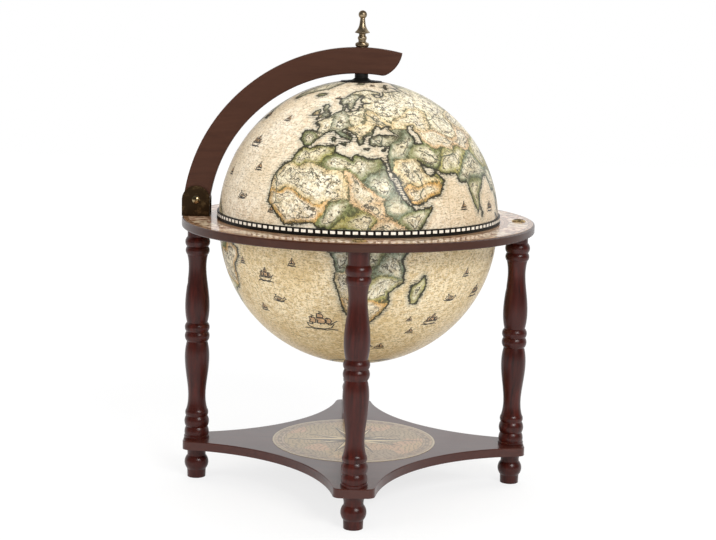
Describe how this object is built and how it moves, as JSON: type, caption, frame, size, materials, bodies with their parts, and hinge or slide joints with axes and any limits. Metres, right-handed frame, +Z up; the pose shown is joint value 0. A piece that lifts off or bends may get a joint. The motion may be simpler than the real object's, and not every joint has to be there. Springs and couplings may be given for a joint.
{
  "type": "tabletop globe bar",
  "caption": "Tabletop drinks cabinet shaped as an antique-style globe on a turned wooden stand; the upper half lifts on a hinged arm to reach the bottle and glass rack.",
  "frame": {"origin": "on the table under the globe's axis, at the bottom centre of the stand", "axes": "+Z up, -Y to the front leg, -X to the arm's hinge; the legs stand on the X and Y axes"},
  "size_m": [0.416, 0.416, 0.5624],
  "materials": {
    "leg_lacquer": "glossy cherry-brown lacquer on turned wood",
    "board_wood": "satin dark walnut stain on board with lipped edges",
    "rack_wood": "satin stained board",
    "shelf_paper": "printed paper disc under varnish",
    "ring_paper": "printed paper band under varnish",
    "bowl_map": "printed antique-style map on a moulded wood-fibre half shell, varnished",
    "dome_map": "printed antique-style map on a moulded wood-fibre half shell, varnished",
    "black_trim": "satin black",
    "equator_band": "black band with pale blocks",
    "dark_brass": "dark antiqued brass",
    "finial_brass": "brushed aged brass",
    "bush_brass": "plain brass",
    "zinc_steel": "zinc plated steel",
    "nylon": "natural nylon"
  },
  "bodies": {
    "stand": {"foot_front": "leg_lacquer", "foot_right": "leg_lacquer", "foot_back": "leg_lacquer", "foot_left": "leg_lacquer", "leg_front": "leg_lacquer", "leg_right": "leg_lacquer", "leg_back": "leg_lacquer", "leg_left": "leg_lacquer", "leg_studs": "zinc_steel", "shelf": "board_wood", "shelf_print": "shelf_paper", "ring": "board_wood", "ring_print": "ring_paper", "leg_screws": "zinc_steel", "ring_caps": "finial_brass", "bowl_shell": "bowl_map", "bowl_collar": "black_trim", "rack_plate": "rack_wood", "rack_screws": "zinc_steel", "glass_floor": "rack_wood", "bottle_seat": "rack_wood", "bracket": "dark_brass", "bracket_screws": "zinc_steel", "pivot_bolt": "dark_brass", "pivot_nut": "dark_brass", "pivot_washers": "nylon"},
    "arm": {"meridian_arm": "board_wood", "pivot_bush": "bush_brass", "finial": "finial_brass", "spindle_bolt": "zinc_steel", "pole_spacer": "black_trim", "spindle_washer": "zinc_steel", "spindle_nut": "zinc_steel"},
    "dome": {"dome_shell": "dome_map", "dome_trim": "equator_band", "pole_cap": "black_trim", "pole_hub": "dark_brass", "hub_ring": "zinc_steel"}
  },
  "joints": [
    {"name": "arm_lift", "type": "hinge", "parent": "stand", "child": "arm", "pos_m": [-0.1915, 0, 0.3385], "axis": [0, -1, 0], "range_deg": [0, 100]},
    {"name": "dome_spin", "type": "hinge", "parent": "arm", "child": "dome", "pos_m": [0, 0, 0.4824], "axis": [0, 0, 1], "continuous": true}
  ]
}
